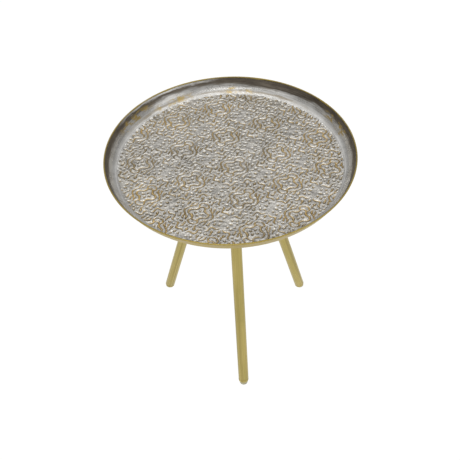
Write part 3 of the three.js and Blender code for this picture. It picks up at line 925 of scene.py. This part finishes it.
# ---- legs ------------------------------------------------------------------------------------
def build_leg(n, azimuth, foot):
    tilt = math.atan2(foot - LEG_TOP_RADIUS, LEG_TOP_Z)
    at = (
        Matrix.Rotation(math.radians(azimuth), 4, "Z")
        @ Matrix.Translation((foot * MM, 0, 0))
        @ Matrix.Rotation(-tilt, 4, "Y")
    )
    st, ct = math.sin(tilt), math.cos(tilt)

    def level(x, h):
        """Height along the leg axis of the world level h, at the leg's own x."""
        return (h - x * st) / ct

    tube_top = SEAT - 0.3
    insert_top = tube_top - 0.4
    insert_r = TUBE_R - TUBE_WALL - 0.3
    leg = f"leg_{n}"

    # boss with its weld bead against the hub plate, and a threaded bore
    ceiling = PLATE_UNDER - 0.3
    segs = 128
    a = ring_angles(segs)
    rings, kinds = [], []

    def ring(r, z, kind=0):
        r = np.broadcast_to(r, (segs,)).astype(float)
        z = np.broadcast_to(z, (segs,)).astype(float)
        rings.append((r * np.cos(a), r * np.sin(a), z, 0.0))
        kinds.append(kind)

    def top(r):
        r = np.broadcast_to(r, (segs,))
        return level(r * np.cos(a), ceiling)

    bore_in, bore_out = 5.12, 5.5
    ring(bore_out + 0.35, SEAT)
    ring(BOSS_R - 0.9, SEAT)
    for i in range(1, 5):
        b = -math.pi / 2 + i / 4 * math.pi / 2
        ring(BOSS_R - 0.9 + 0.9 * math.cos(b), SEAT + 0.9 + 0.9 * math.sin(b))
    ripple = 0.30 * np.sin(a * 17 + n) + 0.16 * np.sin(a * 31 + 2.1 * n) + 0.1 * np.sin(a * 5 + n)
    ring(BOSS_R, top(BOSS_R) * 0.5 + (SEAT + 1.8) * 0.5)
    toe = top(BOSS_R) - 3.1 + 0.5 * ripple
    ring(BOSS_R, toe, 1)
    for s in (0.08, 0.3, 0.52, 0.74, 0.92):
        bulge = 0.28 * math.sin(math.pi * s)
        r = BOSS_R + (2.9 + 0.6 * ripple) * (s**1.15) + bulge
        z = toe + (top(r) - toe) * (1 - (1 - s) ** 1.25) + bulge * -0.5
        ring(r + 0.35 * ripple * math.sin(math.pi * s), z, 1)
    ring(BOSS_R + 2.9 + 0.6 * ripple, top(BOSS_R + 2.9 + 0.6 * ripple), 0)
    ring(8.0, top(8.0))
    ring(bore_out + 0.1, top(bore_out + 0.1))
    turns = 12 * 6
    z_hi = float(top(bore_out).min()) - 0.2
    z_lo = SEAT + 0.5
    for i in range(turns + 1):
        z = z_hi + (z_lo - z_hi) * i / turns
        phase = (z / 1.5 - a / (2 * math.pi)) % 1.0
        ring(bore_in + (bore_out - bore_in) * np.clip(1.2 - np.abs(phase - 0.5) * 2.6, 0, 1), z)
    v, tris, start = skin(rings)
    tris.append(zipper(start[-1], segs, 0.0, start[0], segs, 0.0))
    kinds = np.concatenate([np.full(len(t), kinds[i]) for i, t in enumerate(tris)])
    boss = new_mesh(f"threaded_boss_{n}", v, np.concatenate(tris), [HUB, WELD], kinds, sharp=38, matrix=at)
    done(boss, "top", f"leg_boss_{n}")

    # tube: rolled edges at both ends
    lo, hi, e = 10.3, tube_top, 0.35
    inner = TUBE_R - TUBE_WALL
    outside = arc(TUBE_R - e, lo + e, e, -90, 0, 4)
    outside += [(TUBE_R, lo + (hi - lo) * s) for s in (0.1, 0.2, 0.3, 0.4, 0.5, 0.6, 0.7, 0.8, 0.9)]
    outside += arc(TUBE_R - e, hi - e, e, 0, 90, 4)
    inside = arc(inner + e, hi - e, e, 90, 180, 3) + [(inner, (lo + hi) / 2)] + arc(inner + e, lo + e, e, 180, 270, 3)
    v, t = turned(outside + inside, 96)
    done(new_mesh(f"tube_{n}", v, t, [LEG], sharp=50, matrix=at), leg, f"leg_tube_{n}")

    # insert in the tube's top
    lo, hi, c = insert_top - 22.0, insert_top, 0.8
    floor = insert_top - 17.3
    groove = [(insert_r, lo + c)]
    for z in (hi - 15, hi - 9):
        groove += [(insert_r, z), (insert_r - 0.5, z + 0.4), (insert_r - 0.5, z + 1.6), (insert_r, z + 2.0)]
    v, t = turned(
        [(0, lo), (insert_r - c, lo)] + groove
        + [(insert_r, hi - 0.3), (insert_r - 0.3, hi), (5.75, hi), (5.12, hi - 0.6), (5.12, floor), (0, floor)],
        72,
    )
    done(new_mesh(f"insert_{n}", v, t, [STEEL], sharp=30, matrix=at), leg, f"leg_insert_{n}")

    # M10 stud
    v, t = threaded(5.0, 0.72, 1.5, insert_top - 17.0, SEAT + 18.0, 40, 7, tip=1.2, base=0.5)
    done(new_mesh(f"screw_stud_{n}", v, t, [STEEL], sharp=50, matrix=at), leg, f"leg_stud_{n}")

    # foot cap: a rounded end with a fine shoulder line, plugged into the tube
    profile = [(2.1, 3.6), (2.1 + 0.3, 3.6), (8.1, 3.6)]
    for k in range(1, 13):
        b = -math.pi / 2 + k / 12 * math.pi / 2
        profile.append((8.1 + (TUBE_R - 8.1) * math.cos(b), 6.6 + 3.0 * math.sin(b)))
    profile += [(TUBE_R, 9.7), (TUBE_R - 0.3, 10.0), (insert_r, 10.0)]
    for z in (13.0, 17.0, 21.0):
        profile += [(insert_r, z - 0.9), (insert_r - 0.45, z - 0.2), (insert_r - 0.45, z + 0.2), (insert_r, z + 0.5)]
    profile += [(insert_r, 24.0), (insert_r - 1, 25.0), (0, 25.0)]
    # the blind hole for the pad's pin closes on the axis, so it is skinned as one open profile
    v, t = turned([(0, 10.3), (2.1, 10.3), (2.1, 6.0)] + profile, 80)
    cap = new_mesh(f"end_cap_{n}", v, t, [LEG], sharp=40, matrix=at)
    done(cap, leg, f"foot_cap_{n}")

    # floor pad: pin and head, its sole cut level with the floor
    segs = 64
    a = ring_angles(segs)
    rings = []

    def pad_ring(r, z):
        z = np.broadcast_to(z, (segs,)).astype(float)
        rings.append((r * np.cos(a), r * np.sin(a), z, 0.0))

    def sole(r, h=0.0):
        return level(r * np.cos(a), h)

    rings.append((np.zeros(1), np.zeros(1), np.zeros(1), 0.0))
    for r in (2.4, 4.8, 7.0):
        pad_ring(r, sole(r))
    for k in range(1, 5):
        b = k / 4 * math.pi / 2
        r = 7.0 + 0.7 * math.sin(b)
        pad_ring(r, sole(r, 0.6 * (1 - math.cos(b))))
    pad_ring(7.7, np.maximum(sole(7.7, 0.6) + 0.05, 3.0))
    pad_ring(7.6, np.maximum(sole(7.7, 0.6) + 0.06, 3.2))
    pad_ring(7.4, 3.3)
    for r, z in ((2.2, 3.3), (2.0, 3.45), (2.0, 9.5), (1.5, 10.0)):
        pad_ring(r, z)
    rings.append((np.zeros(1), np.zeros(1), np.full(1, 10.0), 0.0))
    v, tris, _ = skin(rings)
    pad = new_mesh(f"floor_pad_{n}", v, np.concatenate(tris), [NYLON], sharp=40, matrix=at)
    done(pad, f"pad_{n}", f"foot_pad_{n}")


for i, (azimuth, foot) in enumerate(LEGS):
    build_leg(i + 1, azimuth, foot)


# ---- floor, light, camera ------------------------------------------------------------------------
def build_stage():
    s = 6.0
    floor = new_mesh(
        "studio_floor",
        np.array([(-s, -s, -0.0), (s, -s, -0.0), (s, s, -0.0), (-s, s, -0.0)]) * 1000,
        [(0, 1, 2, 3)],
        [],
        sharp=None,
    )
    g = Graph("studio_floor")
    g.set(Base_Color=g.mix(g.steps(g.noise(1.5, 2, 0.5), 0.3, 0.7), (0.04, 0.04, 0.04), (0.05, 0.05, 0.05)), Metallic=0.0, Roughness=0.8)
    g.shader.inputs["Specular IOR Level"].default_value = 0.1
    g.shader.inputs["Emission Color"].default_value = (1, 1, 1, 1)
    g.shader.inputs["Emission Strength"].default_value = FLOOR_GLOW
    floor.data.materials.append(g.mat)
    floor.location = (0, 0, -0.0002)


def area(name, place, target, size, energy, colour=(1, 1, 1)):
    lamp = bpy.data.lights.new(name, "AREA")
    lamp.shape = "RECTANGLE"
    lamp.size, lamp.size_y = size
    lamp.energy = energy
    lamp.color = colour
    ob = bpy.data.objects.new(name, lamp)
    bpy.context.scene.collection.objects.link(ob)
    ob.location = place
    ob.rotation_mode = "QUATERNION"
    ob.rotation_quaternion = (Vector(target) - Vector(place)).to_track_quat("-Z", "Y")
    ob.visible_camera = False
    return ob


FLOOR_GLOW = 0.99
build_stage()


def build_world():
    """White studio: bright overhead, dimmer towards the horizon."""
    world = bpy.data.worlds.new("studio")
    bpy.context.scene.world = world
    world.use_nodes = True
    nt = world.node_tree
    back = nt.nodes["Background"]
    coord = nt.nodes.new("ShaderNodeTexCoord")
    dot = nt.nodes.new("ShaderNodeVectorMath")
    dot.operation = "DOT_PRODUCT"
    dot.inputs[1].default_value = (0.0, 0.0, 1.0)
    nt.links.new(coord.outputs["Generated"], dot.inputs[0])
    ramp = nt.nodes.new("ShaderNodeValToRGB")
    el = ramp.color_ramp.elements
    stops = WORLD_STOPS
    while len(el) < len(stops):
        el.new(0.5)
    for e, (pos, v) in zip(el, stops):
        e.position = pos
        e.color = (v, v, v, 1)
    half = nt.nodes.new("ShaderNodeMapRange")
    half.inputs["From Min"].default_value = -1
    half.inputs["From Max"].default_value = 1
    nt.links.new(dot.outputs["Value"], half.inputs["Value"])
    nt.links.new(half.outputs["Result"], ramp.inputs[0])
    nt.links.new(ramp.outputs[0], back.inputs["Color"])
    back.inputs["Strength"].default_value = 1.0
    # the camera itself sees the plain white of the studio
    plain = nt.nodes.new("ShaderNodeBackground")
    plain.inputs["Color"].default_value = (0.96, 0.96, 0.96, 1)
    path = nt.nodes.new("ShaderNodeLightPath")
    mix = nt.nodes.new("ShaderNodeMixShader")
    nt.links.new(path.outputs["Is Camera Ray"], mix.inputs[0])
    nt.links.new(back.outputs[0], mix.inputs[1])
    nt.links.new(plain.outputs[0], mix.inputs[2])
    nt.links.new(mix.outputs[0], nt.nodes["World Output"].inputs["Surface"])


WORLD_STOPS = [(0.0, 0.3), (0.5, 0.2), (0.58, 0.24), (0.75, 0.5), (0.83, 0.75), (0.93, 1.0), (1.0, 1.5)]
build_world()
area("strip_top", (-0.15, 0.0, 2.4), (0, 0, 0.42), (1.6, 0.2), 1.9)
area("front", (-0.1, -2.1, 2.0), (0, 0, 0.42), (1.6, 0.3), 5.5)
area("front_left", (-1.9, -1.7, 1.2), (0, 0, 0.3), (1.2, 1.2), 5.5)
area("front_right", (2.0, -1.5, 1.0), (0, 0, 0.3), (1.0, 1.4), 6)

cam_data = bpy.data.cameras.new("camera")
cam = bpy.data.objects.new("camera", cam_data)
bpy.context.scene.collection.objects.link(cam)
right = Vector((0.99632833, -0.07977104, -0.03108760))
up = Vector((0.07962522, 0.72995595, 0.67884029))
forward = Vector((0.03145922, 0.67882317, -0.73362758))
m = Matrix((right, up, -forward)).transposed().to_4x4()
m.translation = Vector((-0.045798, -0.863343, 1.193066))
cam.matrix_world = m
cam_data.sensor_width = 36.0
cam_data.lens = 54.6840
cam_data.clip_start, cam_data.clip_end = 0.01, 100.0
bpy.context.scene.camera = cam
bpy.context.scene.view_settings.view_transform = "Standard"
bpy.context.scene.view_settings.look = "None"

bpy.context.view_layer.update()
